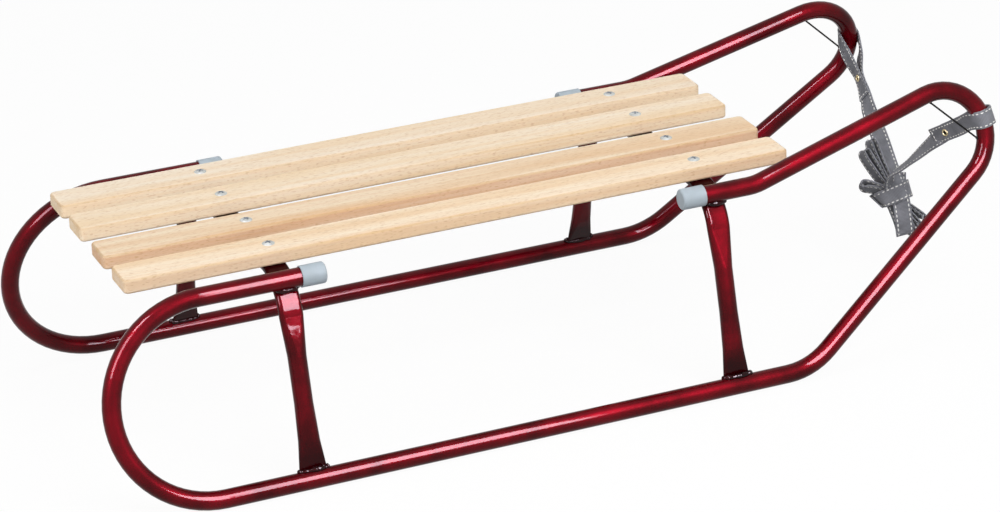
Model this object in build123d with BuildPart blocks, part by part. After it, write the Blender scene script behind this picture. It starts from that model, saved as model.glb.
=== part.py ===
from build123d import *
from math import cos, degrees, pi, radians, sin, sqrt, tan
import os

# A child's metal sled. X points forward to the horns, Z up from the floor, and the origin lies on the floor
# under the middle of the sled's length and width. Left is +Y.

# Side tubes, in millimetres and degrees
overall_length = 1035.0
tube_diameter = 20.0
runner_spacing = 422.0      # between the runners' centrelines
frame_lean = 13.8           # each side frame leans in at the top
bar_below_seat = 20.0       # slats' tops down to the upper bars' centreline
horn_rise = 60.0            # upper bars' centreline up to the top of the horns' centreline
front_bend_radius = 82.0
rise_angle = 38.6           # runner to rise, in the frame's own plane
nose_radius = 54.5
grip_angle = 15.7           # grip to upper bar, in the frame's own plane
grip_bend_radius = 60.0

# Arches
rear_arch_inset = 211.5     # sled's rear end to the rear arch
front_arch_inset = 39.0     # front arch to the start of the grip's bend
arch_bend_radius = 50.0
pressed_width = 26.0        # crossbar and shoulders, pressed flat
foot_width = 30.0           # feet, pressed flat
shoulder_taper = 42.0       # leg's length from pressed to round
foot_taper = 80.0           # leg's length from round to pressed
round_flat = 0.4            # width of the two flats that are left on the round leg

# Slats
seat_height = 235.0         # floor to the slats' tops
slat_width = 46.0
slat_thickness = 15.5
rear_overhang = 163.0       # rear arch to the slats' rear ends
front_overhang = 102.0      # front arch to the slats' front ends
slat_corner_radius = 6.0
slat_edge_radius = 3.0
outer_slat_y = 109.0
inner_slat_y = 40.0
bolt_hole_diameter = 5.5

# End caps
cap_length = 26.5
cap_wall = 1.2
cap_end_wall = 2.0
cap_edge_radius = 2.5
cap_to_arch = 1.5           # along X, from a cap's mouth to the arch beside it

# Strap keepers, as chords across the noses
keeper_diameter = 2.0
keeper_top_angle = 100.0
keeper_nose_angle = -6.0

# Webbing strap
strap_width = 20.0
strap_thickness = 2.0
loop_angle = 13.0           # place of the strap's loop on the nose
hank_top = Vector(452.0, 0.0, 138.0)
hank_bottom = Vector(497.0, -24.0, 54.0)
hank_across = Vector(6.0, -1.0, 3.5)
hank_width = 36.0
hank_depth = 26.0
hank_edge_radius = 8.0
run_ends = {"left": Vector(478.0, -4.0, 118.0), "right": Vector(467.0, -10.0, 116.0)}

# Clearances
weld_gap = 0.3              # filled by the weld bead
cap_clearance = 0.2
strap_clearance = 0.3

# Worked-out sizes of the side frames. In a frame's plane x runs forward and h runs up from the runner.
tube_radius = tube_diameter / 2
lean = radians(frame_lean)
rise = radians(rise_angle)
grip = radians(grip_angle)
runner_y = runner_spacing / 2
upper_bar_height = seat_height - bar_below_seat
bar_rise = upper_bar_height - tube_radius
bar_h = bar_rise / cos(lean)
bar_y = runner_y - bar_rise * tan(lean)
rear_radius = bar_h / 2
rear_x = tube_radius + rear_radius - overall_length / 2
nose_x = overall_length / 2 - tube_radius - nose_radius
nose_h = bar_h + horn_rise / cos(lean) - nose_radius
rise_foot_x = nose_x - (nose_h * cos(rise) - nose_radius) / sin(rise)
grip_foot_x = nose_x - (nose_radius + (nose_h - bar_h) * cos(grip)) / sin(grip)
grip_reach = grip_bend_radius * tan(grip / 2)


def pressed_thickness(width):
    """Thickness of the round tube when it is pressed to a flat oval, with its girth unchanged."""
    return (pi * tube_diameter - 2 * width) / (pi - 2)


def frame_plane(side):
    """A leaning side frame's own plane, with its origin on the runner's centreline at mid-length."""
    return Plane(
        origin=(0, side * runner_y, tube_radius),
        x_dir=(1, 0, 0),
        z_dir=(0, -cos(lean), -side * sin(lean)),
    )


def nose_point(plane, angle, radius):
    """A point in a side frame's plane at an angle round the nose's centre."""
    turn = radians(angle)
    return plane.from_local_coords(Vector(nose_x + radius * cos(turn), nose_h + radius * sin(turn), 0))


def nose_section(plane, angle):
    """The plane across the nose's tube at an angle round the nose's centre."""
    middle = nose_point(plane, angle, nose_radius)
    centre = nose_point(plane, angle, 0)
    return Plane(origin=middle, z_dir=plane.z_dir.cross(middle - centre))


# Worked-out sizes of the arches, in the plane of one arch
rear_arch_x = rear_arch_inset - overall_length / 2
front_arch_x = grip_foot_x - grip_reach - front_arch_inset
bar_thickness = pressed_thickness(pressed_width)
crossbar_z = seat_height - slat_thickness - bar_thickness / 2
bend_z = crossbar_z - arch_bend_radius
bend_reach = arch_bend_radius + bar_thickness / 2 + weld_gap + tube_radius
bend_y = bar_y - sqrt(bend_reach**2 - (upper_bar_height - bend_z) ** 2)
leg_top_y = bend_y + arch_bend_radius * cos(lean)
leg_top_z = bend_z + arch_bend_radius * sin(lean)
leg_length = (leg_top_z - tube_radius) / cos(lean)

# Caps: each mouth lies just past the arch that its bar is welded to
rear_cap_mouth = rear_arch_x + pressed_width / 2 + cap_to_arch
front_cap_mouth = front_arch_x - pressed_width / 2 - cap_to_arch
bar_in_cap = cap_length - cap_end_wall

SIDES = {"left": 1, "right": -1}
ARCHES = {"rear": rear_arch_x, "front": front_arch_x}
SLATS = {
    "outer_left": outer_slat_y,
    "inner_left": inner_slat_y,
    "inner_right": -inner_slat_y,
    "outer_right": -outer_slat_y,
}

os.makedirs("parts", exist_ok=True)


def save(piece, name):
    """Labels a finished piece and writes it as its own file."""
    piece.part.label = name
    export_step(piece.part, f"parts/{name}.step")


# Side tubes: one bent tube each, from the rear upper bar's end round to the front upper bar's end
for side_name, side in SIDES.items():
    with BuildPart() as side_tube:
        with BuildLine(frame_plane(side)) as centreline:
            rear_bar = Line((rear_cap_mouth + bar_in_cap, bar_h), (rear_x, bar_h))
            rear_bend = JernArc(rear_bar @ 1, (-1, 0), rear_radius, 180)
            runner = Line(rear_bend @ 1, (rise_foot_x - front_bend_radius * tan(rise / 2), 0))
            front_bend = JernArc(runner @ 1, (1, 0), front_bend_radius, rise_angle)
            nose_start = (nose_x + nose_radius * sin(rise), nose_h - nose_radius * cos(rise))
            rise_bar = Line(front_bend @ 1, nose_start)
            nose = JernArc(rise_bar @ 1, (cos(rise), sin(rise)), nose_radius, 180 + grip_angle - rise_angle)
            grip_end = (grip_foot_x + grip_reach * cos(grip), bar_h + grip_reach * sin(grip))
            grip_bar = Line(nose @ 1, grip_end)
            grip_bend = JernArc(grip_bar @ 1, (-cos(grip), -sin(grip)), grip_bend_radius, -grip_angle)
            front_bar = Line(grip_bend @ 1, (front_cap_mouth - bar_in_cap, bar_h))
        with BuildSketch(Plane(origin=centreline.wire() @ 0, z_dir=centreline.wire() % 0)):
            Circle(tube_radius)
        sweep(path=centreline.wire())
    save(side_tube, f"side_tube_{side_name}")

# Arches: the crossbar and shoulders are one pressed oval, and each leg goes from oval to round to a flat foot
leg_sections = [
    # along the leg, width
    (0.0, pressed_width),
    (shoulder_taper / 2, (pressed_width + tube_diameter) / 2),
    (shoulder_taper, tube_diameter),
    (leg_length - foot_taper, tube_diameter),
    (leg_length - foot_taper / 2, tube_diameter + (foot_width - tube_diameter) / 3),
    (leg_length - tube_radius, foot_width),
    (leg_length, foot_width),
]
for arch_name, arch_x in ARCHES.items():
    arch_plane = Plane(origin=(arch_x, 0, 0), x_dir=(0, 1, 0), z_dir=(1, 0, 0))
    with BuildPart() as arch:
        with BuildLine(arch_plane) as bar_line:
            CenterArc((-bend_y, bend_z), arch_bend_radius, 180 - frame_lean, frame_lean - 90)
            Line((-bend_y, crossbar_z), (bend_y, crossbar_z))
            CenterArc((bend_y, bend_z), arch_bend_radius, 90, frame_lean - 90)
        with BuildSketch(Plane(origin=bar_line.wire() @ 0, x_dir=(1, 0, 0), z_dir=bar_line.wire() % 0)):
            SlotOverall(pressed_width, bar_thickness)
        sweep(path=bar_line.wire())
        for side in SIDES.values():
            leg_way = Vector(0, side * sin(lean), -cos(lean))
            leg_top = Vector(arch_x, side * leg_top_y, leg_top_z)
            for along, width in leg_sections:
                thickness = min(pressed_thickness(width), width - round_flat)
                with BuildSketch(Plane(origin=leg_top + leg_way * along, x_dir=(1, 0, 0), z_dir=leg_way)):
                    SlotOverall(width, thickness)
            loft(ruled=True)
            with BuildSketch(Plane(origin=(arch_x, side * runner_y, tube_radius), z_dir=(1, 0, 0))):
                Circle(tube_radius + weld_gap)
            extrude(amount=foot_width, both=True, mode=Mode.SUBTRACT)
        with Locations(*[(arch_x, y, crossbar_z) for y in SLATS.values()]):
            Cylinder(bolt_hole_diameter / 2, 2 * bar_thickness, mode=Mode.SUBTRACT)
    save(arch, f"arch_{arch_name}")

# Slats: rounded boards that lie on the two crossbars
slat_rear_x = rear_arch_x - rear_overhang
slat_front_x = front_arch_x + front_overhang
for slat_name, slat_y in SLATS.items():
    with BuildPart() as slat:
        with BuildSketch(Plane.XY.offset(seat_height - slat_thickness)):
            with Locations(((slat_rear_x + slat_front_x) / 2, slat_y)):
                RectangleRounded(slat_front_x - slat_rear_x, slat_width, slat_corner_radius)
        extrude(amount=slat_thickness)
        rims = slat.faces().filter_by(Axis.Z).edges()
        fillet(rims, slat_edge_radius)
        with Locations(*[(arch_x, slat_y, seat_height - slat_thickness / 2) for arch_x in ARCHES.values()]):
            Cylinder(bolt_hole_diameter / 2, 2 * slat_thickness, mode=Mode.SUBTRACT)
    save(slat, f"slat_{slat_name}")

# End caps: plastic sleeves with a closed, rounded end, turned round the upper bar's axis
cap_bore = tube_radius + cap_clearance
cap_radius = cap_bore + cap_wall
cap_ends = [
    # name, mouth, way along X
    ("rear", rear_cap_mouth, 1),
    ("front", front_cap_mouth, -1),
]
for cap_name, mouth, way in cap_ends:
    for side_name, side in SIDES.items():
        with BuildPart() as cap:
            with BuildSketch(Plane(origin=(mouth, side * bar_y, upper_bar_height), z_dir=(way, 0, 0))):
                Circle(cap_radius)
            extrude(amount=cap_length)
            fillet(cap.edges().sort_by(Axis.X)[-1 if way > 0 else 0], cap_edge_radius)
            with BuildSketch(Plane(origin=(mouth, side * bar_y, upper_bar_height), z_dir=(way, 0, 0))):
                Circle(cap_bore)
            extrude(amount=bar_in_cap, mode=Mode.SUBTRACT)
        save(cap, f"cap_{cap_name}_{side_name}")

# Strap keepers: a straight wire across the inside of each horn, welded at both ends
keeper_reach = nose_radius - tube_radius - weld_gap - keeper_diameter / 2
for side_name, side in SIDES.items():
    keeper_start = nose_point(frame_plane(side), keeper_top_angle, keeper_reach)
    keeper_end = nose_point(frame_plane(side), keeper_nose_angle, keeper_reach)
    with BuildPart() as keeper:
        with BuildSketch(Plane(origin=keeper_start, z_dir=keeper_end - keeper_start)):
            Circle(keeper_diameter / 2)
        extrude(amount=(keeper_end - keeper_start).length)
    save(keeper, f"keeper_{side_name}")

# Strap: a hank of folded webbing, and on each side a run from the hank to a loop round the nose
hank_plane = Plane(origin=hank_top, x_dir=hank_across, z_dir=hank_bottom - hank_top)
hank_length = (hank_bottom - hank_top).length
with BuildPart() as hank:
    with BuildSketch(hank_plane):
        RectangleRounded(hank_width, hank_depth, hank_edge_radius)
    extrude(amount=hank_length)
    hank_ends = hank.faces().filter_by(hank_plane)
    fillet(hank_ends.edges(), hank_edge_radius / 2)
save(hank, "strap_hank")

loop_bore = tube_radius + strap_clearance
loop_turn = degrees(strap_width / nose_radius)
bore_turn = 3 * loop_turn
for side_name, side in SIDES.items():
    plane = frame_plane(side)
    nose_axis = Axis(nose_point(plane, 0, 0), plane.z_dir)
    loop_section = nose_section(plane, loop_angle)
    run_way = run_ends[side_name] - loop_section.origin
    with BuildPart() as strap:
        with BuildSketch(nose_section(plane, loop_angle - loop_turn / 2)):
            Circle(loop_bore + strap_thickness)
        revolve(axis=nose_axis, revolution_arc=loop_turn)
        with BuildSketch(Plane(origin=loop_section.origin, x_dir=loop_section.z_dir, z_dir=run_way)):
            Rectangle(strap_width, strap_thickness)
        extrude(amount=run_way.length)
        with BuildSketch(nose_section(plane, loop_angle - bore_turn / 2)):
            Circle(loop_bore)
        revolve(axis=nose_axis, revolution_arc=bore_turn, mode=Mode.SUBTRACT)
        with BuildSketch(hank_plane.offset(-strap_clearance)):
            RectangleRounded(
                hank_width + 2 * strap_clearance,
                hank_depth + 2 * strap_clearance,
                hank_edge_radius + strap_clearance,
            )
        extrude(amount=hank_length + 2 * strap_clearance, mode=Mode.SUBTRACT)
    save(strap, f"strap_{side_name}")
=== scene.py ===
"""Looks of a child's metal sled: lacquered tube frame, beech slats, plastic caps and a folded webbing strap."""

import logging
import math
import random
from dataclasses import dataclass, field
from enum import Enum

import bmesh
import bpy
from bmesh.types import BMesh
from bpy.types import ID, Material, Mesh, NodeSocket, NodeTree, Object, World
from mathutils import Matrix, Vector


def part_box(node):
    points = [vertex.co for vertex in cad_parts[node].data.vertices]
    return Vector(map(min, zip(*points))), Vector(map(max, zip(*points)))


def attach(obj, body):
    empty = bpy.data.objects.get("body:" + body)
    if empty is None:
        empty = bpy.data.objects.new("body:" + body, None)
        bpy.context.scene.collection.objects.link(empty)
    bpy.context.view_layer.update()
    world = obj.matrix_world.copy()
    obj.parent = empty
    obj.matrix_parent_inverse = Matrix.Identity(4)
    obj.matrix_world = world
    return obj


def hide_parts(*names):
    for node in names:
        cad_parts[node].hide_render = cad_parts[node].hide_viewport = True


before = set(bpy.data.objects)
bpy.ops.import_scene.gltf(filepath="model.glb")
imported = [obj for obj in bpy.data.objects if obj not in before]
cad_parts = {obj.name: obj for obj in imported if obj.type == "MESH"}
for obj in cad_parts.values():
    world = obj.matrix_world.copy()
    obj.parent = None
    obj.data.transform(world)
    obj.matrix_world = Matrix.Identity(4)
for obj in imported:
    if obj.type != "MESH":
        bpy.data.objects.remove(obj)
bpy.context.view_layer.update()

LOG = logging.getLogger("sled")
MM = 0.001
BODY = "root"
PHOTO_WIDTH_PX = 1000
ARCH_X_MM = {"rear": -306.0, "front": 178.41}

Pair = tuple[float, float]
# A place, a way or a size in millimetres, as it is written in the part's source
Triple = tuple[float, float, float]
# A place on the strap in millimetres, and the way that its width points there
Row = tuple[Vector, Vector]
# A node's values by input name, input number or property name, and the sockets that feed its inputs
Settings = dict[str | int, object]
Links = dict[str | int, NodeSocket]


class Slot(Enum):
    """The record's material slots for the tube, the keepers and the strap; the pieces added here are given their
    materials directly, not through these.
    """

    TUBE = "tube"
    KEEPER = "keeper"
    STRAP = "strap"


class Side(Enum):
    """The sled's sides, with the sign of Y on each."""

    LEFT = 1
    RIGHT = -1

    @property
    def word(self) -> str:
        """The side's name as the CAD nodes have it."""
        return self.name.lower()


def linear(code: str) -> tuple[float, float, float, float]:
    """Turns an sRGB hex colour into linear RGBA.

    Args:
        code: six hex digits after a hash sign.

    Returns:
        Red, green, blue and an alpha of 1.
    """
    parts = [int(code[i : i + 2], 16) / 255 for i in (1, 3, 5)]
    red, green, blue = (c / 12.92 if c <= 0.04045 else ((c + 0.055) / 1.055) ** 2.4 for c in parts)
    return red, green, blue, 1.0


def per_metre(size_mm: float) -> float:
    """How many features of a size in millimetres fit in a metre."""
    return 1.0 / (size_mm * MM)


def fresh_tree(owner: Material | World) -> NodeTree:
    """Gives a material or a world an empty node tree.

    Args:
        owner: what gets the tree.

    Returns:
        The empty tree.
    """
    owner.use_nodes = True
    owner.node_tree.nodes.clear()
    return owner.node_tree


def add_node(
    tree: NodeTree,
    kind: str,
    settings: Settings | None = None,
    links: Links | None = None,
    output: str | int = 0,
) -> NodeSocket | None:
    """Adds a shader node with its settings and links.

    Args:
        tree: node tree that the node joins.
        kind: Blender's name of the node type, without "ShaderNode" before it.
        settings: the node's values; "stops" are a ramp's places and hex colours.
        links: output sockets by the input that each one feeds.
        output: which output of the node is wanted.

    Returns:
        That output, or None for a node without outputs.
    """
    node = tree.nodes.new("ShaderNode" + kind)
    for key, value in (settings or {}).items():
        if key == "stops":
            ramp = node.color_ramp.elements
            while len(ramp) < len(value):
                ramp.new(0.5)
            for stop, (place, code) in zip(ramp, value):
                stop.position, stop.color = place, linear(code)
        elif isinstance(key, int) or key in node.inputs:
            node.inputs[key].default_value = value
        else:
            setattr(node, key, value)
    for key, socket in (links or {}).items():
        tree.links.new(socket, node.inputs[key])
    return node.outputs[output] if node.outputs else None


@dataclass(frozen=True)
class Pattern:
    """What a finish draws: its colour, the patterns that its relief and its roughness follow, and plain values."""

    colour: NodeSocket
    relief: NodeSocket
    gloss: NodeSocket
    values: Settings


@dataclass(frozen=True)
class Finish:
    """A finish that can be made into a material."""

    name: str
    roughness: Pair = (0.5, 0.5)
    relief_mm: float = 0.0
    relief_strength: float = 0.0
    relief_in: tuple[str, ...] = ("Normal",)

    def material(self) -> Material:
        """Makes the material with its patterns, gloss and relief.

        Returns:
            The new material.
        """
        material = bpy.data.materials.new(self.name)
        tree = fresh_tree(material)
        drawn = self.draw(tree)
        low, high = self.roughness
        rough = add_node(tree, "MapRange", {"To Min": low, "To Max": high}, {"Value": drawn.gloss})
        feeds = {"Base Color": drawn.colour, "Roughness": rough}
        if self.relief_mm:
            depth = {"Strength": self.relief_strength, "Distance": self.relief_mm * MM}
            bump = add_node(tree, "Bump", depth, {"Height": drawn.relief})
            feeds |= {socket: bump for socket in self.relief_in}
        shader = add_node(tree, "BsdfPrincipled", drawn.values, feeds)
        add_node(tree, "OutputMaterial", links={"Surface": shader})
        return material

    def draw(self, tree: NodeTree) -> Pattern:
        """Draws the patterns, which each kind of finish has of its own."""
        raise NotImplementedError


@dataclass(frozen=True)
class CandyLacquer(Finish):
    """Translucent red lacquer sprayed over a metallic ground: deep red, with sharp pale lights along the tubes.

    Its relief is the waviness of the sprayed coat, and its roughness that of the metallic ground below.
    """

    roughness: Pair = (0.3, 0.46)
    relief_mm: float = 0.1
    relief_strength: float = 0.3
    relief_in: tuple[str, ...] = ("Normal", "Coat Normal")
    wave_mm: float = 11.0
    thin: str = "#940922"
    thick: str = "#580511"
    depth_ramp: Pair = (0.45, 0.82)
    # A painted shade colour: it darkens the arches above one height, where the seat shades the crossbars and shoulders,
    # and below another, at the feet near the floor
    painted_shade: str = "#2b0609"
    pool_share: float = 0.8
    pool_above_mm: float = 1000.0
    pool_below_mm: float = -1000.0
    fade_above_mm: float = 12.0
    fade_below_mm: float = 26.0
    flake_mm: float = 1.1
    flake_share: float = 0.28
    run_mm: float = 55.0
    metallic: float = 0.25
    coat_ior: float = 1.2
    coat_roughness: float = 0.07
    coat_tint: str = "#bf9da4"

    def draw(self, tree: NodeTree) -> Pattern:
        """Draws lacquer that is darker where it lies thick, with painted shade above one height and below another, and
        with fine flakes and a smooth top coat.

        Args:
            tree: the material's node tree.

        Returns:
            The finish's patterns.
        """
        place = add_node(tree, "TexCoord", output="Object")
        # Metal flakes are finer than a pixel, so they are drawn about 1 mm wide
        noises = ((self.flake_mm, 1.0, 0.5), (self.run_mm, 3.0, 0.55), (self.wave_mm, 2.0, 0.5))
        flakes, runs, waves = (
            add_node(tree, "TexNoise", {"Scale": per_metre(s), "Detail": d, "Roughness": r}, {"Vector": place})
            for s, d, r in noises
        )
        depth = add_node(tree, "Math", {"operation": "MULTIPLY_ADD", 1: self.flake_share}, {0: flakes, 2: runs})
        stops = list(zip(self.depth_ramp, (self.thick, self.thin)))
        lacquer = add_node(tree, "ValToRGB", {"stops": stops}, {"Fac": depth})
        # Painted shade: the lacquer turns to the painted shade colour above one height and below another
        height = add_node(tree, "SeparateXYZ", links={0: place}, output="Z")
        fades = (
            (self.pool_above_mm - self.fade_above_mm, self.pool_above_mm),
            (self.pool_below_mm + self.fade_below_mm, self.pool_below_mm),
        )
        above, below = (
            add_node(tree, "MapRange", {"From Min": a * MM, "From Max": b * MM, "To Max": self.pool_share}, {0: height})
            for a, b in fades
        )
        painted_shading = add_node(tree, "Math", {"operation": "MAXIMUM"}, {0: above, 1: below})
        mix = {"data_type": "RGBA", 7: linear(self.painted_shade)}
        colour = add_node(tree, "Mix", mix, {0: painted_shading, 6: lacquer}, output=2)
        # The tinted coat swallows more light where it is seen at a slant, so the tubes darken towards their edges
        values = {
            "Metallic": self.metallic,
            "Specular IOR Level": 0.0,
            "Coat Weight": 1.0,
            "Coat Roughness": self.coat_roughness,
            "Coat IOR": self.coat_ior,
            "Coat Tint": linear(self.coat_tint),
        }
        return Pattern(colour, waves, flakes, values)


@dataclass(frozen=True)
class SandedBeech(Finish):
    """Planed and sanded beech: pale cream, with soft tan bands, fine lengthwise lines and short brown flecks."""

    roughness: Pair = (0.5, 0.66)
    relief_mm: float = 0.12
    relief_strength: float = 0.2
    seed: float = 0.0
    pale: str = "#f3e3cc"
    warm: str = "#e9cda8"
    tone_ramp: Pair = (0.5, 0.84)
    fleck: str = "#c69d70"
    fleck_range: Pair = (0.6, 0.74)
    fleck_share: float = 0.42
    sawn: str = "#faf4f0"
    # A painted shade for the rounded edges, darker than the tops and the sides
    edge: str = "#e7ddd0"
    band_mm: Triple = (420.0, 17.0, 11.0)
    line_mm: Triple = (160.0, 1.9, 1.9)
    line_share: float = 0.35
    fleck_mm: Triple = (5.5, 1.1, 1.1)
    waviness: float = 0.25
    specular: float = 0.03

    def draw(self, tree: NodeTree) -> Pattern:
        """Draws bands, lines and flecks that all run along the board.

        Args:
            tree: the material's node tree.

        Returns:
            The finish's patterns.
        """
        place = add_node(tree, "TexCoord", output="Object")
        layers = []
        for size, detail in ((self.band_mm, 3.0), (self.line_mm, 2.0), (self.fleck_mm, 0.0)):
            stretch = {"Location": (self.seed, self.seed, 0.0), "Scale": tuple(per_metre(s) for s in size)}
            board = add_node(tree, "Mapping", stretch, {"Vector": place})
            grain = {"Scale": 1.0, "Detail": detail, "Distortion": self.waviness}
            layers.append(add_node(tree, "TexNoise", grain, {"Vector": board}))
        bands, lines, flecks = layers
        tone = add_node(tree, "Math", {"operation": "MULTIPLY_ADD", 1: self.line_share}, {0: lines, 2: bands})
        stops = list(zip(self.tone_ramp, (self.pale, self.warm)))
        wood = add_node(tree, "ValToRGB", {"stops": stops}, {"Fac": tone})
        # Real flecks are a third of a millimetre wide, and are drawn three times as wide to show
        start, full = self.fleck_range
        fade = {"From Min": start, "From Max": full, "To Max": self.fleck_share}
        rays = add_node(tree, "MapRange", fade, {"Value": flecks})
        mix = {"data_type": "RGBA", 7: linear(self.fleck)}
        flecked = add_node(tree, "Mix", mix, {0: rays, 6: wood}, output=2)
        # The sawn sides are a little more tan than the sanded tops. The rounded edges get a darker painted shade, which
        # holds back the light that they catch.
        normal = add_node(tree, "NewGeometry", output="Normal")
        facing = add_node(tree, "SeparateXYZ", links={0: normal}, output="Z")
        upward = add_node(tree, "Math", {"operation": "ABSOLUTE"}, {0: facing})
        slants = [(0.12, self.sawn), (0.45, self.edge), (0.85, self.edge), (0.99, "#ffffff")]
        side = add_node(tree, "ValToRGB", {"stops": slants}, {"Fac": upward})
        mix = {"data_type": "RGBA", "blend_type": "MULTIPLY", 0: 1.0}
        colour = add_node(tree, "Mix", mix, {6: flecked, 7: side}, output=2)
        return Pattern(colour, lines, lines, {"Specular IOR Level": self.specular})


@dataclass(frozen=True)
class PolyesterWebbing(Finish):
    """Flat-woven polyester webbing: matt grey, with fine ribs across it and a faint fuzz."""

    roughness: Pair = (0.95, 0.78)
    relief_mm: float = 0.25
    relief_strength: float = 0.6
    light: str = "#93949b"
    dark: str = "#6c6d73"
    shade_ramp: Pair = (0.35, 0.95)
    rib_mm: float = 1.5
    yarn_mm: float = 1.2
    unevenness: float = 0.6
    weave_share: float = 0.45
    wear_mm: float = 18.0
    specular: float = 0.05
    fuzz: float = 0.25
    fuzz_roughness: float = 0.4

    def draw(self, tree: NodeTree) -> Pattern:
        """Draws the weave, from the webbing's own UV map in metres.

        Args:
            tree: the material's node tree.

        Returns:
            The finish's patterns.
        """
        cloth = {"Vector": add_node(tree, "TexCoord", output="UV")}
        # A wave texture of scale 1 has its ribs pi / 10 m apart. Yarns are drawn twice their width to show.
        layers = []
        for way, size in (("X", self.rib_mm), ("Y", self.yarn_mm)):
            wave = {"bands_direction": way, "Scale": per_metre(size) * math.pi / 10, "Distortion": self.unevenness}
            layers.append(add_node(tree, "TexWave", wave, cloth, output="Fac"))
        weave = add_node(tree, "Math", {"operation": "MULTIPLY"}, dict(enumerate(layers)))
        wear = add_node(tree, "TexNoise", {"Scale": per_metre(self.wear_mm), "Detail": 4.0}, cloth)
        shade = add_node(tree, "Math", {"operation": "MULTIPLY_ADD", 1: self.weave_share}, {0: weave, 2: wear})
        stops = list(zip(self.shade_ramp, (self.dark, self.light)))
        colour = add_node(tree, "ValToRGB", {"stops": stops}, {"Fac": shade})
        values = {
            "Specular IOR Level": self.specular,
            "Sheen Weight": self.fuzz,
            "Sheen Roughness": self.fuzz_roughness,
        }
        return Pattern(colour, weave, weave, values)


@dataclass(frozen=True)
class CloudyFinish(Finish):
    """A finish of nearly one colour, with cloudy shade, and a grain that shows in its gloss and relief.

    The cloud and the grain are each a size in millimetres and a number of finer steps.
    """

    light: str = "#ffffff"
    dark: str = "#ffffff"
    ramp: Pair = (0.3, 0.7)
    cloud: Pair = (3.0, 3.0)
    grain: Pair = (3.0, 3.0)
    metallic: float = 0.0
    specular: float = 0.5

    def draw(self, tree: NodeTree) -> Pattern:
        """Draws the cloudy colour and the grain.

        Args:
            tree: the material's node tree.

        Returns:
            The finish's patterns.
        """
        place = {"Vector": add_node(tree, "TexCoord", output="Object")}
        cloud, grain = (
            add_node(tree, "TexNoise", {"Scale": per_metre(size), "Detail": detail}, place)
            for size, detail in (self.cloud, self.grain)
        )
        stops = list(zip(self.ramp, (self.dark, self.light)))
        colour = add_node(tree, "ValToRGB", {"stops": stops}, {"Fac": cloud})
        return Pattern(colour, grain, grain, {"Metallic": self.metallic, "Specular IOR Level": self.specular})


@dataclass(frozen=True)
class MouldedPlastic(CloudyFinish):
    """Moulded polyethylene: one even colour, cloudy from the flow, with a satin skin that the mould grains finely."""

    roughness: Pair = (0.39, 0.51)
    relief_mm: float = 0.08
    relief_strength: float = 0.15
    light: str = "#aeb9c2"
    dark: str = "#a6b1b9"
    ramp: Pair = (0.35, 0.65)
    cloud: Pair = (14.0, 2.0)
    grain: Pair = (1.4, 1.0)
    specular: float = 0.05


@dataclass(frozen=True)
class PlatedMetal(CloudyFinish):
    """Plated metal: bright, with cloudy patches from the plating bath in its colour and its gloss."""

    specular: float = 0.2


@dataclass(frozen=True)
class SewingThread(CloudyFinish):
    """Twisted polyester thread: off-white, with the twist showing as fine shade."""

    roughness: Pair = (0.55, 0.75)
    light: str = "#f4f3ee"
    dark: str = "#cfcdc6"
    ramp: Pair = (0.3, 0.6)
    cloud: Pair = (0.8, 2.0)
    grain: Pair = (0.8, 2.0)


def dress_node(name: str, material: Material) -> None:
    """Gives a CAD node its material.

    Args:
        name: the node.
        material: what every face of it gets.
    """
    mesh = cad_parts[name].data
    mesh.materials.clear()
    mesh.materials.append(material)
    LOG.info("dressed %s", name)


def to_mesh(name: str, bm: BMesh) -> Mesh:
    """Makes a bmesh into a mesh and frees it.

    Args:
        name: the mesh's name.
        bm: the bmesh.

    Returns:
        The new mesh.
    """
    mesh = bpy.data.meshes.new(name)
    bm.to_mesh(mesh)
    bm.free()
    return mesh


def to_scene(name: str, data: ID) -> Object:
    """Makes an object of a mesh, lamp or camera and links it to the scene.

    Args:
        name: the object's name.
        data: its mesh, lamp or camera.

    Returns:
        The new object, at the origin.
    """
    thing = bpy.data.objects.new(name, data)
    bpy.context.scene.collection.objects.link(thing)
    return thing


def add_piece(
    name: str, bm: BMesh, material: Material, sharp_deg: float = 40.0
) -> Object:
    """Makes a bmesh into a piece of the sled that rides on its body.

    Args:
        name: the piece's name.
        bm: its mesh, in place and in metres; it is freed.
        material: its material.
        sharp_deg: edges that turn by more than this stay sharp.

    Returns:
        The new object, at the origin.
    """
    mesh = to_mesh(name, bm)
    mesh.polygons.foreach_set("use_smooth", [True] * len(mesh.polygons))
    mesh.set_sharp_from_angle(angle=math.radians(sharp_deg))
    mesh.materials.append(material)
    piece = to_scene(name, mesh)
    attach(piece, BODY)
    LOG.info("made %s", name)
    return piece


def turn_profile(bm: BMesh, profile: list[Pair], steps: int = 28, merge_mm: float = 0.01) -> None:
    """Turns a profile round the Z axis, as a lathe does.

    Args:
        bm: the empty mesh that gets the turned shape.
        profile: radius and height in millimetres, from one end of the axis to the other.
        steps: faces round the shape.
        merge_mm: corners that are nearer than this become one.
    """
    corners = [bm.verts.new((radius * MM, 0.0, height * MM)) for radius, height in profile]
    edges = [bm.edges.new(pair) for pair in zip(corners, corners[1:])]
    bmesh.ops.spin(
        bm, geom=corners + edges, cent=(0, 0, 0), axis=(0, 0, 1), angle=math.tau, steps=steps, use_merge=True
    )
    bmesh.ops.remove_doubles(bm, verts=bm.verts, dist=merge_mm * MM)
    bmesh.ops.recalc_face_normals(bm, faces=bm.faces)


def axes_at(place: Vector, along: Vector, across: Vector) -> Matrix:
    """A matrix whose X axis runs along, Y across and Z out of a strip at a place."""
    return Matrix.Translation(place) @ Matrix((along, across, along.cross(across))).transposed().to_4x4()


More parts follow.
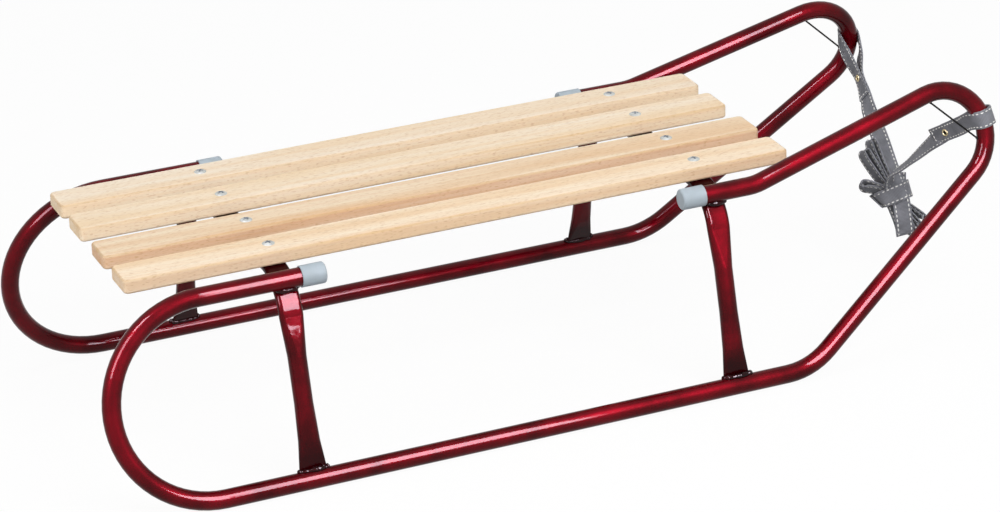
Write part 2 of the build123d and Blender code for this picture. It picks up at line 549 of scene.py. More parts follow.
def spline_mesh(
    name: str, lines: list[list[tuple[Vector, float]]], steps: int, bevel: float = 0.0, closed: bool = False
) -> Mesh:
    """Draws smooth splines and reads them back as a mesh.

    Args:
        name: the mesh's name.
        lines: each spline's points in metres, with the radius at each as a multiple of the bevel.
        steps: mesh points to each spline point.
        bevel: radius of the rod round each spline, in metres, or 0 for a bare line.
        closed: whether the splines close on themselves.

    Returns:
        The new mesh.
    """
    curve = bpy.data.curves.new(name, "CURVE")
    curve.dimensions = "3D"
    curve.resolution_u = steps
    curve.bevel_depth = bevel
    curve.bevel_resolution = 3
    for points in lines:
        spline = curve.splines.new("NURBS")
        spline.points.add(len(points) - 1)
        for point, (place, radius) in zip(spline.points, points):
            point.co, point.radius = (*place, 1.0), radius
        spline.order_u = 3
        spline.use_endpoint_u = not closed
        spline.use_cyclic_u = closed
    holder = bpy.data.objects.new(name, curve)
    mesh = bpy.data.meshes.new_from_object(holder)
    bpy.data.objects.remove(holder)
    bpy.data.curves.remove(curve)
    return mesh


@dataclass
class Webbing:
    """A length of stitched webbing that follows a smooth route."""

    name: str
    route: list[Row]
    width_mm: float = 20.0
    thickness_mm: float = 1.6
    edge_round_mm: float = 0.4
    stitch_pitch_mm: float = 5.3
    stitch_size_mm: Triple = (3.7, 1.5, 0.9)
    stitch_inset_mm: float = 2.5
    cross_pitch_mm: float = 4.6
    columns: int = 6
    steps: int = 10
    frames: list[Matrix] = field(default_factory=list)
    along: list[float] = field(default_factory=list)

    def follow(self) -> None:
        """Reads the middle line and the width's way from two smooth splines with the route's points."""
        lines = [[(p * MM + w.normalized() * reach, 1.0) for p, w in self.route] for reach in (0.0, 1.0)]
        mesh = spline_mesh(self.name, lines, self.steps)
        points = [v.co.copy() for v in mesh.vertices]
        bpy.data.meshes.remove(mesh)
        half = len(points) // 2
        middle, edge = points[:half], points[half:]
        walked = 0.0
        for i, place in enumerate(middle):
            way = (middle[min(i + 1, half - 1)] - middle[max(i - 1, 0)]).normalized()
            across = edge[i] - place
            across = (across - across.dot(way) * way).normalized()
            walked += (place - middle[max(i - 1, 0)]).length
            self.frames.append(axes_at(place, way, across))
            self.along.append(walked)

    def frame_at(self, distance: float) -> Matrix:
        """The strip's axes at a distance along it.

        Args:
            distance: metres from the route's start.

        Returns:
            The axes of the nearest point before it, moved on to the distance.
        """
        i = max(k for k, walked in enumerate(self.along) if walked <= max(distance, 0.0))
        return self.frames[i] @ Matrix.Translation((distance - self.along[i], 0, 0))

    def length(self) -> float:
        """The strip's length in metres."""
        return self.along[-1]

    def centres(self, start: float) -> list[Vector]:
        """The middle line's points from a distance along it, in metres."""
        return [f.translation for f, walked in zip(self.frames, self.along) if walked >= start]

    def lay_strip(self, bm: BMesh) -> None:
        """Adds the strip to a mesh as one layer of faces with UVs in metres.

        Args:
            bm: the mesh, which has a UV layer.
        """
        uv = bm.loops.layers.uv.active
        rows = len(self.frames) - 1
        grid = bmesh.ops.create_grid(bm, x_segments=rows, y_segments=self.columns, size=0.5)
        spot = {v: (round((v.co.x + 0.5) * rows), v.co.y * self.width_mm * MM) for v in grid["verts"]}
        for face in {f for v in spot for f in v.link_faces}:
            for loop in face.loops:
                row, off = spot[loop.vert]
                loop[uv].uv = (self.along[row], off)
        for vert, (row, off) in spot.items():
            vert.co = self.frames[row] @ Vector((0, off, 0))

    def thicken(self, piece: Object) -> None:
        """Gives a piece of one-layer strips the webbing's thickness and soft edges.

        Args:
            piece: the strips' object.
        """
        wall = piece.modifiers.new("thickness", "SOLIDIFY")
        wall.thickness = self.thickness_mm * MM
        wall.offset = 0.0
        edge = piece.modifiers.new("edge", "BEVEL")
        edge.width = self.edge_round_mm * MM
        edge.segments = 2
        edge.limit_method = "ANGLE"

    def edge_stitches(self) -> list[Matrix]:
        """The places of the stitches along both edges and on both faces.

        Returns:
            Each stitch's axes.
        """
        pitch = self.stitch_pitch_mm * MM
        off = (self.width_mm / 2 - self.stitch_inset_mm) * MM
        lift = self.thickness_mm / 2 * MM
        spots = []
        walked = pitch / 2
        while walked < self.length():
            here = self.frame_at(walked)
            spots += [here @ Matrix.Translation((0, across, out)) for across in (-off, off) for out in (-lift, lift)]
            walked += pitch
        return spots

    def cross_stitches(self, distance: float) -> list[Matrix]:
        """The places of a row of stitches across both faces.

        Args:
            distance: metres from the route's start.

        Returns:
            Each stitch's axes.
        """
        lift = self.thickness_mm / 2 * MM
        turned = Matrix.Rotation(math.pi / 2, 4, "Z")
        return [
            self.frame_at(distance) @ Matrix.Translation((0, step * self.cross_pitch_mm * MM, out)) @ turned
            for step in (-1, 0, 1)
            for out in (-lift, lift)
        ]

    def sew(self, bm: BMesh, spots: list[Matrix], batch: int = 20) -> None:
        """Adds stitches a few at a time, since an operator takes longer in a larger mesh.

        Args:
            bm: the mesh that gets the stitches.
            spots: the stitches' places.
            batch: how many are made together.
        """
        size = Matrix.Diagonal([s / 2 * MM for s in self.stitch_size_mm]).to_4x4()
        for start in range(0, len(spots), batch):
            few = bmesh.new()
            for spot in spots[start : start + batch]:
                bmesh.ops.create_uvsphere(few, u_segments=6, v_segments=4, radius=1.0, matrix=spot @ size)
            mesh = to_mesh("stitches", few)
            bm.from_mesh(mesh)
            bpy.data.meshes.remove(mesh)


@dataclass(frozen=True)
class StrapEnd:
    """One end of the strap: its place on the horn, the way its run leaves, and how the loop is turned there.

    The twists turn the width from the horn's axis, in degrees: at the tail's end, at the eyelet, half-way and beside
    the horn on the tail's layer, then beside the horn and half-way on the other layer.
    """

    side: Side
    slide_mm: float
    way: Triple
    eyelet_mm: float
    tail_layer: int
    twists: tuple[float, ...] = (0.0,) * 6
    half_way_mm: float = 5.6
    beside_mm: float = 10.4
    skew_mm: float = 0.0
    free_mm: float = 85.8


@dataclass
class TowStrap:
    """The webbing tow strap: a loop round each horn, a run from each loop, and a tied hank between them."""

    loop_middle: Triple = (506.1, 156.0, 234.0)
    loop_axis: Triple = (-0.225, -0.2324, 0.9462)
    loop_round_mm: float = 11.8
    half_way_along_mm: float = 30.0
    beside_along_mm: float = 12.0
    half_way_back_mm: float = 5.6
    beside_back_mm: float = 10.4
    tail_mm: float = 85.8
    tail_seam_mm: float = 3.5
    eyelet_hole_mm: float = 2.6
    hole_rim_mm: float = 0.2
    hank_middle: Triple = (472.8, -12.0, 102.9)
    hank_right: Triple = (0.9367, -0.2792, 0.212)
    hank_up: Triple = (-0.0678, 0.4491, 0.891)
    wrap_middle: Triple = (1.6, -3.3, -4.5)
    wrap_half: Triple = (19.8, 2.6, 15.5)
    wrap_points: int = 11
    wrap_start_deg: float = 230.0
    wrap_step_deg: float = 42.0
    wrap_growth: float = 0.012
    wrap_slant: float = 0.67
    cord_start_m: float = 0.05
    run_length_m: float = 0.28
    hank_length_m: float = 0.9
    cloth: Material = field(init=False)
    thread: Material = field(init=False)
    brass: Material = field(init=False)
    shade: Material = field(init=False)

    def hank_spot(self, right: float, up: float, front: float) -> Vector:
        """A place in millimetres from one in the hank's own axes: right, up and towards the front."""
        return Vector(self.hank_middle) + self.hank_way(right, up, front)

    def hank_way(self, right: float, up: float, front: float) -> Vector:
        """A direction from one in the hank's own axes."""
        x, y = Vector(self.hank_right).normalized(), Vector(self.hank_up).normalized()
        return x * right + y * up + x.cross(y) * front

    def loop_route(self, end: StrapEnd) -> list[Row]:
        """The route from the sewn tail round the horn and back to the tail's end.

        Args:
            end: which end of the strap it is.

        Returns:
            The route's rows.
        """
        mirror = Matrix.Diagonal((1, end.side.value, 1))
        axis = (mirror @ Vector(self.loop_axis)).normalized()
        middle = mirror @ Vector(self.loop_middle) + axis * end.slide_mm
        way = Vector(end.way).normalized()
        out = (way - way.dot(axis) * axis).normalized()
        face = axis.cross(out)
        skew = axis * end.skew_mm
        tail, eyelet, half, beside, beside_back, half_back = (
            axis * math.cos(math.radians(t)) + face * math.sin(math.radians(t)) for t in end.twists
        )
        layer = face * end.tail_layer
        over_tail, over_eyelet = (w.cross(way).normalized() * end.tail_layer for w in (tail, eyelet))
        near, far = out * self.loop_round_mm, layer * self.loop_round_mm
        half_way = middle + way * self.half_way_along_mm
        by_horn = middle + out * self.beside_along_mm
        return [
            (middle + way * self.tail_mm + over_tail, tail),
            (middle + way * end.eyelet_mm + over_eyelet, eyelet),
            (half_way + layer * end.half_way_mm, half),
            (by_horn + layer * end.beside_mm + skew, beside),
            (middle - near + far + skew, axis),
            (middle - near - far - skew, axis),
            (by_horn - layer * self.beside_back_mm - skew, beside_back),
            (half_way - layer * self.half_way_back_mm, half_back),
            (middle + way * end.eyelet_mm - over_eyelet, eyelet),
            (middle + way * end.free_mm - over_tail, tail),
        ]

    def make_cloth(
        self, word: str, routes: list[list[Row]], seam_mm: float | None = None
    ) -> tuple[Object, Object, Webbing]:
        """Makes a part of the strap in place of its CAD node, and the stitches on it.

        Args:
            word: the part's name in the strap's.
            routes: the route of each strip in it.
            seam_mm: where a row of stitches goes across it, if one does.

        Returns:
            The webbing's object, the stitches' object and the last strip.
        """
        cloth, sewn = bmesh.new(), bmesh.new()
        cloth.loops.layers.uv.new("cloth")
        total = 0.0
        for route in routes:
            strip = Webbing(f"strap_{word}_webbing", route)
            strip.follow()
            strip.lay_strip(cloth)
            strip.sew(sewn, strip.edge_stitches())
            total += strip.length()
        if seam_mm is not None:
            strip.sew(sewn, strip.cross_stitches(seam_mm * MM))
        piece = add_piece(strip.name, cloth, self.cloth)
        strip.thicken(piece)
        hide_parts(f"strap_{word}")
        LOG.info("%s is %.4f m long", strip.name, total)
        return piece, add_piece(f"strap_{word}_stitches", sewn, self.thread), strip

    def build_run(self, end: StrapEnd, run: list[tuple[Triple | Vector, Triple | Vector]]) -> Object:
        """Makes one side's loop and run, with its stitches and eyelet.

        Args:
            end: which end of the strap it is.
            run: the route's rows from the sewn tail to the hank.

        Returns:
            The webbing's object.
        """
        rows = [(Vector(place), Vector(across)) for place, across in run]
        piece, stitches, strip = self.make_cloth(end.side.word, [self.loop_route(end) + rows], self.tail_seam_mm)
        eyelet = self.build_eyelet(end, strip)
        path = strip.centres(self.cord_start_m)
        LOG.info("its cord is %.4f m long", strip.length() - self.cord_start_m)
        return piece

    def build_eyelet(self, end: StrapEnd, strip: Webbing) -> Object:
        """Makes the brass eyelet that holds the sewn tail.

        Args:
            end: which end of the strap it is.
            strip: the webbing that it is set in.

        Returns:
            The eyelet's object.
        """
        hole = self.eyelet_hole_mm
        profile = [
            (0.0, 0.25), (hole, 0.3), (hole + 0.1, 1.0), (3.0, 1.3), (3.6, 1.2), (4.1, 0.8), (4.3, 0.3), (4.1, 0.0),
            (2.8, 0.0), (2.8, -4.4), (4.1, -4.4), (4.2, -4.7), (3.6, -5.1), (3.0, -5.2), (hole, -4.9), (0.0, -4.8),
        ]
        bm = bmesh.new()
        turn_profile(bm, profile)
        # The faces across the hole take the second material, a black painted shade where the hole is dark
        for face in bm.faces:
            face.material_index = int(face.calc_center_median().xy.length < (hole - self.hole_rim_mm) * MM)
        spot = strip.frame_at((self.tail_mm - end.eyelet_mm) * MM)
        outward = Matrix.Identity(4) if end.tail_layer > 0 else Matrix.Rotation(math.pi, 4, "X")
        seat = Matrix.Translation((0, 0, strip.thickness_mm / 2 * MM))
        bmesh.ops.transform(bm, matrix=spot @ outward @ seat, verts=bm.verts)
        eyelet = add_piece(f"strap_{end.side.word}_eyelet", bm, self.brass)
        eyelet.data.materials.append(self.shade)
        return eyelet

    def wrap_rows(self) -> list[tuple[Triple, Triple]]:
        """The wrap's turns round the hank, as places and ways in the hank's own axes.

        Returns:
            The rows, on a ring that grows a little so that the second turn lies on the first.
        """
        rows = []
        for k in range(self.wrap_points):
            turn = math.radians(self.wrap_start_deg - self.wrap_step_deg * k)
            grow = 1.0 + self.wrap_growth * k
            right, front = math.cos(turn), math.sin(turn)
            reach = (grow * right, right, grow * front)
            spot = tuple(m + h * r for m, h, r in zip(self.wrap_middle, self.wrap_half, reach))
            rows.append((spot, (self.wrap_slant * min(right, 0.0), 1, 0)))
        return rows

    def build_hank(self, runs: list[Object]) -> None:
        """Makes the folded hank and the wrap that ties it.

        Args:
            runs: the two runs that it hangs from; not used.
        """
        flat, deep = (1, 0, 0), (0.22, 0.0, 0.97)
        ear, turned = (0.21, 0.35, 0.91), (0.34, 0.1, 0.93)
        groups = [
            (flat, [(7, 0, 6.5), (7, -10, 7), (4.5, -28, 9), (1.5, -47, 8), (0.5, -52, 3), (3, -40, 0)]),
            ((0.9, 0, 0.4), [(0, -14, 2)]),
            ((0.6, 0.2, 0.77), [(-6, 2, 1)]),
            (ear, [(-15, 10, 2), (-24, 16.5, 2), (-30, 18.5, 1), (-29.5, 12.5, 0), (-22, 9.5, -1), (-12, 4.0, -3)]),
            (deep, [(0, -4, -6), (12, -16, -7), (27, -34, -7), (28.5, -39, -8), (22, -33, -8), (9, -15, -8)]),
            (deep, [(-3, 2, -8)]),
            (turned, [(-9.5, 16, -7), (-17.5, 38, -6), (-21, 51, -6), (-15.5, 55, -6), (-13, 46, -7), (-8, 28, -8)]),
            (deep, [(-3.5, 12, -8), (2, -4, -8), (9, -20, -8), (20, -40, -8), (20, -46, -9), (14.5, -39, -9)]),
            (deep, [(6, -18, -8), (0, 2, -9)]),
            (turned, [(-3.5, 20, -10), (-8, 45, -11), (-9.5, 62, -11), (-4, 64, -11), (-2.5, 47, -11)]),
            (deep, [(1, 24, -10), (4, 2, -9), (7.5, -22, -9), (13, -48, -9), (10, -53, -10)]),
            ((0.6, 0, 0.8), [(5.5, -40, -11)]),
            ((0.8, 0, 0.6), [(5, -14, -12)]),
            (flat, [(9, 6, -12), (13, 20, -11)]),
        ]
        folds = [(spot, way) for way, spots in groups for spot in spots]
        routes = [
            [(self.hank_spot(*spot), self.hank_way(*way)) for spot, way in rows] for rows in (folds, self.wrap_rows())
        ]
        piece, stitches, strip = self.make_cloth("hank", routes)

    def build(self) -> None:
        """Makes the whole strap."""
        self.cloth = PolyesterWebbing("polyester_webbing").material()
        self.thread = SewingThread("polyester_thread").material()
        self.brass = PlatedMetal(
            "brass_plate", light="#d8cba2", dark="#a9966b", roughness=(0.27, 0.45), metallic=0.4
        ).material()
        # Black painted shade for the eyelets' holes
        self.shade = MouldedPlastic("eyelet_shade", light="#0d0c0c", dark="#080808", roughness=(0.64, 0.76)).material()
        left_end = StrapEnd(
            Side.LEFT,
            slide_mm=-6.7,
            way=(-0.185, -0.817, -0.546),
            eyelet_mm=58.0,
            tail_layer=-1,
            twists=(34, 6, 18, 10, 2, 28),
            half_way_mm=7.0,
            beside_mm=12.0,
            skew_mm=3.5,
        )
        ahead = self.hank_way(1, 0, 0)
        left_run = [
            ((487.0, 71.7, 171.9), (0.539, -0.527, 0.65)),
            ((485.4, 45.6, 154.0), (0.70, -0.475, 0.526)),
            ((482.5, 25.2, 139.1), (0.84, -0.396, 0.365)),
            ((479.0, 2.0, 122.5), ahead),
            (self.hank_spot(7, 2, 7), ahead),
        ]
        right_end = StrapEnd(
            Side.RIGHT, slide_mm=4.7, way=(-0.24, 0.818, -0.5245), eyelet_mm=61.8, tail_layer=1, free_mm=66.0
        )
        slant = (0.827, 0.49, 0.277)
        right_run = [
            ((484.2, -83.5, 188.0), (0.32, 0.68, 0.66)),
            ((480.1, -66.7, 171.3), (0.48, 0.70, 0.53)),
            ((474.0, -54.4, 157.9), (0.67, 0.60, 0.43)),
            ((470.3, -42.5, 145.6), (0.744, 0.559, 0.366)),
            ((467.1, -29.2, 135.5), slant),
            ((466.2, -16.9, 124.9), slant),
            (self.hank_spot(-1, 8, 6), slant),
        ]
        self.build_hank([self.build_run(left_end, left_run), self.build_run(right_end, right_run)])


@dataclass(frozen=True)
class Slat:
    """One slat's place across the sled and the tones of its board: pale and warm wood, and the sawn sides."""

    name: str
    y_mm: float
    pale: str
    warm: str
    sawn: str


@dataclass
class Seat:
    """Four beech slats, each held by two bolts with nuts under the crossbars; sizes are in millimetres."""

    slats: tuple[Slat, ...] = (
        Slat("outer_left", 109.0, "#f5e8d6", "#eed7b9", "#fffaf3"),
        Slat("inner_left", 40.0, "#f5e6d2", "#edd5b4", "#fffaf3"),
        Slat("inner_right", -40.0, "#eedcc3", "#e3c19b", "#f6e7e0"),
        Slat("outer_right", -109.0, "#f6e6d0", "#ecd0ad", "#faf4f0"),
    )
    board_shift: float = 3.7
    seat_height: float = 235.0
    crossbar_bottom: float = 210.0
    head_radius: float = 6.6
    head_height: float = 2.3
    # Shares of the head's radius and height, from the top of the dome to its rim
    dome: tuple[Pair, ...] = ((0.0, 1.0), (0.35, 0.93), (0.65, 0.72), (0.88, 0.38), (1.0, 0.1), (0.98, 0.0))
    shank_radius: float = 2.4
    thread_pitch: float = 0.9
    thread_depth: float = 0.4
    thread_turns: int = 4
    tip_chamfer: float = 0.9
    nut_height: float = 4.2
    nut_radius: float = 4.6
    nut_round: float = 0.5
    recess_size: Triple = (7.4, 1.9, 2.6)
    recess_reach: float = 0.65
    recess_slack: float = 0.05
    wall_slope: float = 0.3

    def head_profile(self) -> list[Pair]:
        """The bolt's outline from the top of its dome to its threaded tip.

        Returns:
            Radius and height of each corner, with the slats' tops at height 0.
        """
        shank = self.shank_radius
        profile = [(wide * self.head_radius, high * self.head_height) for wide, high in self.dome] + [(shank, 0.0)]
        nut_face = self.crossbar_bottom - self.nut_height - self.seat_height
        for k in range(self.thread_turns):
            profile.append((shank, nut_face - k * self.thread_pitch))
            profile.append((shank - self.thread_depth, nut_face - (k + 0.5) * self.thread_pitch))
        tip = nut_face - self.thread_turns * self.thread_pitch
        return profile + [(shank - self.tip_chamfer, tip), (0.0, tip)]

    def cut_recess(self, head: BMesh) -> Mesh:
        """Cuts the cross recess into a bolt's head.

        Args:
            head: the turned bolt, which is freed.

        Returns:
            The cut mesh.
        """
        arms = bmesh.new()
        size = Matrix.Diagonal([s * MM for s in self.recess_size]).to_4x4()
        for quarter in (0, 1):
            arm = Matrix.Translation((0, 0, self.head_height * MM)) @ Matrix.Rotation(quarter * math.pi / 2, 4, "Z")
            bmesh.ops.create_cube(arms, size=1.0, matrix=arm @ size)
        bolt, cutter = (to_scene(name, to_mesh(name, bm)) for name, bm in (("bolt", head), ("recess", arms)))
        cut = bolt.modifiers.new("recess", "BOOLEAN")
        cut.object, cut.operation, cut.solver, cut.use_self = cutter, "DIFFERENCE", "EXACT", True
        bpy.context.view_layer.update()
        done = bpy.data.meshes.new_from_object(bolt.evaluated_get(bpy.context.evaluated_depsgraph_get()))
        for holder in (bolt, cutter):
            bpy.data.objects.remove(holder)
        return done

    def make_bolt(self) -> Mesh:
        """Makes one bolt with its cross recess and its nut, with the head's seat at the origin.

        Returns:
            The bolt's mesh.
        """
        head = bmesh.new()
        turn_profile(head, self.head_profile())
        bolt = self.cut_recess(head)
        bm = bmesh.new()
        bm.from_mesh(bolt)
        # The recess's walls and floor take the second material, a darker zinc that is painted shade
        floor = (self.head_height - self.recess_size[2] / 2 - self.recess_slack) * MM
        for face in bm.faces:
            spot = face.calc_center_median()
            inside = spot.z > floor and spot.xy.length < self.recess_reach * self.head_radius * MM
            is_wall = abs(face.normal.z) < self.wall_slope
            face.material_index = int(inside and (is_wall or spot.z < floor + 2 * self.recess_slack * MM))
        nut_middle = self.crossbar_bottom - self.nut_height / 2 - self.seat_height
        nut = bmesh.ops.create_cone(
            bm,
            cap_ends=True,
            segments=6,
            radius1=self.nut_radius * MM,
            radius2=self.nut_radius * MM,
            depth=self.nut_height * MM,
            matrix=Matrix.Translation((0, 0, nut_middle * MM)),
        )
        edges = {e for v in nut["verts"] for e in v.link_edges}
        rims = [e for e in edges if abs(e.verts[0].co.z - e.verts[1].co.z) < MM]
        bmesh.ops.bevel(bm, geom=rims, offset=self.nut_round * MM, segments=2, profile=0.5, affect="EDGES", material=-1)
        bm.to_mesh(bolt)
        bm.free()
        return bolt

    def build(self) -> None:
        """Dresses the slats and makes the bolts."""
        zinc = PlatedMetal(
            "zinc_plate", light="#c5c8c5", dark="#a2a5a3", roughness=(0.34, 0.52), metallic=0.3
        ).material()
        # A darker zinc painted as shade in the bolts' cross recesses
        shade = PlatedMetal(
            "zinc_in_recess", light="#8b9298", dark="#6c7379", roughness=(0.42, 0.6), metallic=0.25
        ).material()
        bolt = self.make_bolt()
        for k, slat in enumerate(self.slats):
            beech = SandedBeech(
                f"sanded_beech_{slat.name}", seed=self.board_shift * k, pale=slat.pale, warm=slat.warm, sawn=slat.sawn
            )
            dress_node(f"slat_{slat.name}", beech.material())
        dice = random.Random(7)
        for arch, x in ARCH_X_MM.items():
            for slat in self.slats:
                bm = bmesh.new()
                bm.from_mesh(bolt)
                place = Matrix.Translation(Vector((x, slat.y_mm, self.seat_height)) * MM)
                turn = Matrix.Rotation(dice.uniform(0, math.pi), 4, "Z")
                bmesh.ops.transform(bm, matrix=place @ turn, verts=bm.verts)
                add_piece(f"bolt_{arch}_{slat.name}", bm, zinc).data.materials.append(shade)
        bpy.data.meshes.remove(bolt)


@dataclass
class TubeFrame:
    """The lacquered frame: side tubes, arches, weld beads, caps and strap keepers; sizes are in millimetres."""

    runner_y: float = 211.0
    tube_radius: float = 10.0
    lean_deg: float = 13.8
    bend_y: float = 119.34
    bend_z: float = 164.76
    bar_y: float = 160.64
    bar_z: float = 215.0
    bead_steps: int = 28
    bead_swell: Pair = (0.6, 1.4)
    bead_merge: float = 0.02
    bead_sharp_deg: float = 80.0
    bead_squareness: float = 0.6
    foot_bead: float = 2.6
    foot_bead_half: Pair = (15.6, 2.7)
    foot_bead_lift: float = 0.7
    shoulder_radius: float = 54.9
    shoulder_bead: float = 3.3
    shoulder_bead_half: Pair = (13.5, 8.5)
    shoulder_bead_lift: float = 2.4
    tack_half: Triple = (1.6, 1.4, 1.5)
    tack_inset: float = 0.6

    def build_bead(
        self, name: str, places: list[Vector], radius: float, dice: random.Random, material: Material
    ) -> None:
        """Makes a closed, lumpy weld bead.

        Args:
            name: the bead's name.
            places: points round the joint, in millimetres.
            radius: the bead's usual radius.
            dice: the source of the lumps' sizes.
            material: the lacquer over the weld.
        """
        lumps = [(place * MM, radius * dice.uniform(*self.bead_swell)) for place in places]
        mesh = spline_mesh(name, [lumps], steps=4, bevel=MM, closed=True)
        bm = bmesh.new()
        bm.from_mesh(mesh)
        bpy.data.meshes.remove(mesh)
        bmesh.ops.remove_doubles(bm, verts=bm.verts, dist=self.bead_merge * MM)
        bmesh.ops.recalc_face_normals(bm, faces=bm.faces)
        add_piece(name, bm, material, self.bead_sharp_deg)

    def turns(self) -> list[Pair]:
        """The steps of a squarish ring round a joint, each as its share ahead and its share to the side."""
        steps = [math.tau * k / self.bead_steps for k in range(self.bead_steps)]
        return [(math.copysign(abs(math.cos(t)) ** self.bead_squareness, math.cos(t)), math.sin(t)) for t in steps]

    def foot_ring(self) -> list[Vector]:
        """The bead's course round a left foot on its leaning runner.

        Returns:
            Its points, with the arch at X = 0.
        """
        lean = math.radians(self.lean_deg)
        up, over = Vector((0, -math.sin(lean), math.cos(lean))), Vector((0, math.cos(lean), math.sin(lean)))
        runner = Vector((0, self.runner_y, self.tube_radius))
        reach = self.tube_radius + self.foot_bead_lift
        half_x, half_y = self.foot_bead_half
        ring = []
        for ahead, beside in self.turns():
            bow = half_y * beside / self.tube_radius
            lifted = up * (reach * math.cos(bow)) + over * (reach * math.sin(bow))
            ring.append(runner + Vector((half_x * ahead, 0, 0)) + lifted)
        return ring

    def shoulder_ring(self) -> list[Vector]:
        """The bead's course where a left shoulder meets its upper bar.

        Returns:
            Its points, with the arch at X = 0.
        """
        out = Vector((0, self.bar_y - self.bend_y, self.bar_z - self.bend_z)).normalized()
        slope = Vector((0, out.z, -out.y))
        middle = Vector((0, self.bend_y, self.bend_z)) + out * (self.shoulder_radius + self.shoulder_bead_lift)
        half_x, half_slope = self.shoulder_bead_half
        return [
            middle + Vector((half_x * ahead, 0, 0)) + slope * (half_slope * beside) for ahead, beside in self.turns()
        ]

    def weld_joints(self, material: Material) -> None:
        """Makes the beads round the feet and at the shoulders.

        Args:
            material: the lacquer over the welds.
        """
        dice = random.Random(11)
        beads = (("foot", self.foot_ring(), self.foot_bead), ("shoulder", self.shoulder_ring(), self.shoulder_bead))
        for arch, x in ARCH_X_MM.items():
            for side in Side:
                mirror = Matrix.Diagonal((1, side.value, 1))
                for joint, ring, radius in beads:
                    places = [mirror @ place + Vector((x, 0, 0)) for place in ring]
                    self.build_bead(f"weld_{joint}_{arch}_{side.word}", places, radius, dice, material)

    def tack_keepers(self, material: Material) -> None:
        """Makes the small tacks that hold the keepers' ends.

        Args:
            material: the keepers' finish.
        """
        size = Matrix.Diagonal([half * MM for half in self.tack_half]).to_4x4()
        for side in Side:
            low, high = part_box(f"keeper_{side.word}")
            ends = [
                Vector((low.x, low.y if side is Side.LEFT else high.y, high.z)),
                Vector((high.x, high.y if side is Side.LEFT else low.y, low.z)),
            ]
            bm = bmesh.new()
            for k, end in enumerate(ends):
                inward = (ends[1 - k] - end).normalized()
                place = Matrix.Translation(end + inward * self.tack_inset * MM)
                bmesh.ops.create_icosphere(bm, subdivisions=2, radius=1.0, matrix=place @ size)
            add_piece(f"keeper_tacks_{side.word}", bm, material)

    def build(self) -> None:
        """Dresses the frame's nodes and makes the beads and tacks."""
        lacquer = CandyLacquer("candy_red_lacquer").material()
        # The arches' lacquer carries painted shade on the crossbars and shoulders under the seat and at the feet
        painted_shade = CandyLacquer(
            "candy_red_on_arch",
            pool_above_mm=205.0,
            pool_below_mm=34.0,
            wave_mm=22.0,
            relief_mm=1.0,
            relief_strength=0.7,
        ).material()
        thick = CandyLacquer(
            "candy_red_on_weld",
            thin="#4a0710",
            thick="#180307",
            wave_mm=4.5,
            relief_mm=0.8,
            relief_strength=1.0,
            coat_ior=1.26,
        ).material()
        plastic = MouldedPlastic("moulded_polyethylene").material()
        wire = MouldedPlastic("black_dipped_wire", light="#22201f", dark="#151414", roughness=(0.44, 0.56)).material()
        for side in Side:
            dress_node(f"side_tube_{side.word}", lacquer)
            dress_node(f"keeper_{side.word}", wire)
            for end in ARCH_X_MM:
                dress_node(f"cap_{end}_{side.word}", plastic)
        for arch in ARCH_X_MM:
            dress_node(f"arch_{arch}", painted_shade)
        self.weld_joints(thick)
        self.tack_keepers(wire)


@dataclass(frozen=True)
class PhotoCamera:
    """The camera at the photograph's angle, from a fit to the tubes' edges."""

    focal_px: float = 3692.88
    sensor_mm: float = 36.0
    azimuth: float = -0.385
    elevation: float = 0.4133
    roll: float = -0.0398
    target: Triple = (-5.73, 0.0, 116.77)
    distance: float = 4036.92
    clip_end_m: float = 50.0

    def build(self) -> None:
        """Makes the camera and sets it as the scene's."""
        data = bpy.data.cameras.new("camera")
        data.sensor_width = self.sensor_mm
        data.lens = self.focal_px * self.sensor_mm / PHOTO_WIDTH_PX
        data.clip_end = self.clip_end_m
        a, e, c, s = self.azimuth, self.elevation, math.cos(self.roll), math.sin(self.roll)
        back = Vector((math.sin(a) * math.cos(e), -math.cos(a) * math.cos(e), math.sin(e)))
        right = Vector((math.cos(a), math.sin(a), 0.0))
        up = back.cross(right)
        right, up = c * right + s * up, c * up - s * right
        camera = to_scene("camera", data)
        place = (Vector(self.target) + back * self.distance) * MM
        camera.matrix_world = Matrix.Translation(place) @ Matrix((right, up, back)).transposed().to_4x4()
        bpy.context.scene.camera = camera


class Throw(Enum):
    """What a lamp is for: to light matt surfaces, or only to be mirrored in gloss, as a reflector card is."""

    LIGHT = "light"
    SHINE = "shine"


@dataclass(frozen=True)
class Softbox:
    """A rectangular softbox that points at a place, with both in metres."""

    name: str
    place: Triple
    aim: Triple
    size: Pair
    watts: float
    throw: Throw = Throw.LIGHT
    colour: str = "#ffffff"

    def build(self) -> None:
        """Makes the lamp."""
        lamp = bpy.data.lights.new(self.name, "AREA")
        lamp.shape = "RECTANGLE"
        lamp.size, lamp.size_y = self.size
        lamp.energy = self.watts
        lamp.color = linear(self.colour)[:3]
        holder = to_scene(self.name, lamp)
        aim = (Vector(self.aim) - Vector(self.place)).to_track_quat("-Z", "Y").to_matrix().to_4x4()
        holder.matrix_world = Matrix.Translation(self.place) @ aim
        holder.visible_camera = False
        holder.visible_diffuse = self.throw is Throw.LIGHT
        holder.visible_glossy = self.throw is Throw.SHINE


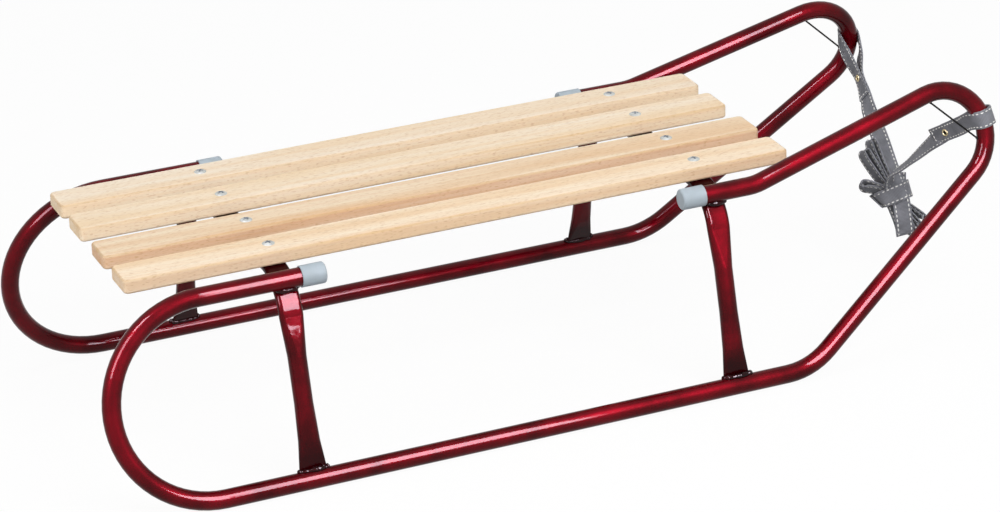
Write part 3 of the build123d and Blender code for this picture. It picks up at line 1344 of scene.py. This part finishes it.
@dataclass(frozen=True)
class Studio:
    """A plain white studio: pale floor, soft world light and softboxes."""

    floor_half: float = 8.0
    ambient: float = 0.36
    floor_white: float = 0.85
    floor_glow: float = 1.11
    floor_paper: str = "#9c9c9c"
    softboxes: tuple[Softbox, ...] = (
        Softbox("overhead", (0.0, 0.0, 2.4), (0.0, 0.0, 0.1), (2.4, 1.4), 12.0),
        Softbox("front_key", (0.4, -2.4, 2.1), (0.0, 0.0, 0.12), (2.0, 1.6), 67.0),
        Softbox("front_strip", (0.27, -1.25, 1.1), (0.15, -0.1, 0.15), (0.55, 1.2), 105.0, Throw.SHINE, "#f4f0ff"),
        Softbox("rear_fill", (-2.4, -0.7, 0.8), (-0.2, 0.0, 0.15), (1.2, 1.2), 23.0),
        Softbox("rear_strip", (-1.6, -0.65, 2.5), (0.43, 0.17, 0.14), (0.7, 0.7), 84.0, Throw.SHINE, "#f4f0ff"),
        Softbox("bend_card", (-2.05, -0.95, 1.45), (-0.48, 0.0, 0.19), (0.8, 1.2), 95.0, Throw.SHINE, "#f4f0ff"),
    )

    def seen_directly(self, tree: NodeTree) -> NodeSocket:
        """A value of 1 for the camera, for mirror images and through glass, and 0 for other light.

        Args:
            tree: the node tree that gets the nodes.

        Returns:
            The value's socket.
        """
        path = add_node(tree, "LightPath").node.outputs
        total = path["Is Camera Ray"]
        for other in ("Is Glossy Ray", "Is Transmission Ray"):
            total = add_node(tree, "Math", {"operation": "MAXIMUM"}, {0: total, 1: path[other]})
        return total

    def build_world(self) -> None:
        """Makes a world that is white to look at and gives a softer even light."""
        world = bpy.data.worlds.new("white_studio")
        tree = fresh_tree(world)
        seen = {"Value": self.seen_directly(tree)}
        strength = add_node(tree, "MapRange", {"To Min": self.ambient, "To Max": 1.0}, seen)
        light = add_node(tree, "Background", {"Color": (1, 1, 1, 1)}, {"Strength": strength})
        add_node(tree, "OutputWorld", links={"Surface": light})
        bpy.context.scene.world = world

    def build_floor(self) -> None:
        """Makes the pale floor, which keeps the sled's shadow."""
        bm = bmesh.new()
        bmesh.ops.create_grid(bm, x_segments=1, y_segments=1, size=self.floor_half)
        mesh = to_mesh("floor", bm)
        material = bpy.data.materials.new("white_paper")
        tree = fresh_tree(material)
        paper = add_node(tree, "BsdfDiffuse", {"Color": linear(self.floor_paper)})
        glow = add_node(tree, "Emission", {"Color": (1, 1, 1, 1), "Strength": self.floor_glow})
        seen = {0: self.seen_directly(tree)}
        share = add_node(tree, "Math", {"operation": "MULTIPLY", 1: self.floor_white}, seen)
        both = add_node(tree, "MixShader", links={0: share, 1: paper, 2: glow})
        add_node(tree, "OutputMaterial", links={"Surface": both})
        mesh.materials.append(material)
        to_scene("floor", mesh)

    def build(self) -> None:
        """Makes the floor, the world and the lamps."""
        self.build_floor()
        self.build_world()
        for box in self.softboxes:
            box.build()
        bpy.context.scene.view_settings.view_transform = "Standard"


def main() -> None:
    """Builds the sled's looks, part by part, and the studio round it."""
    logging.basicConfig(level=logging.INFO, format="%(name)s: %(message)s")
    PhotoCamera().build()
    TowStrap().build()
    TubeFrame().build()
    Seat().build()
    Studio().build()


if __name__ == "__main__":
    main()
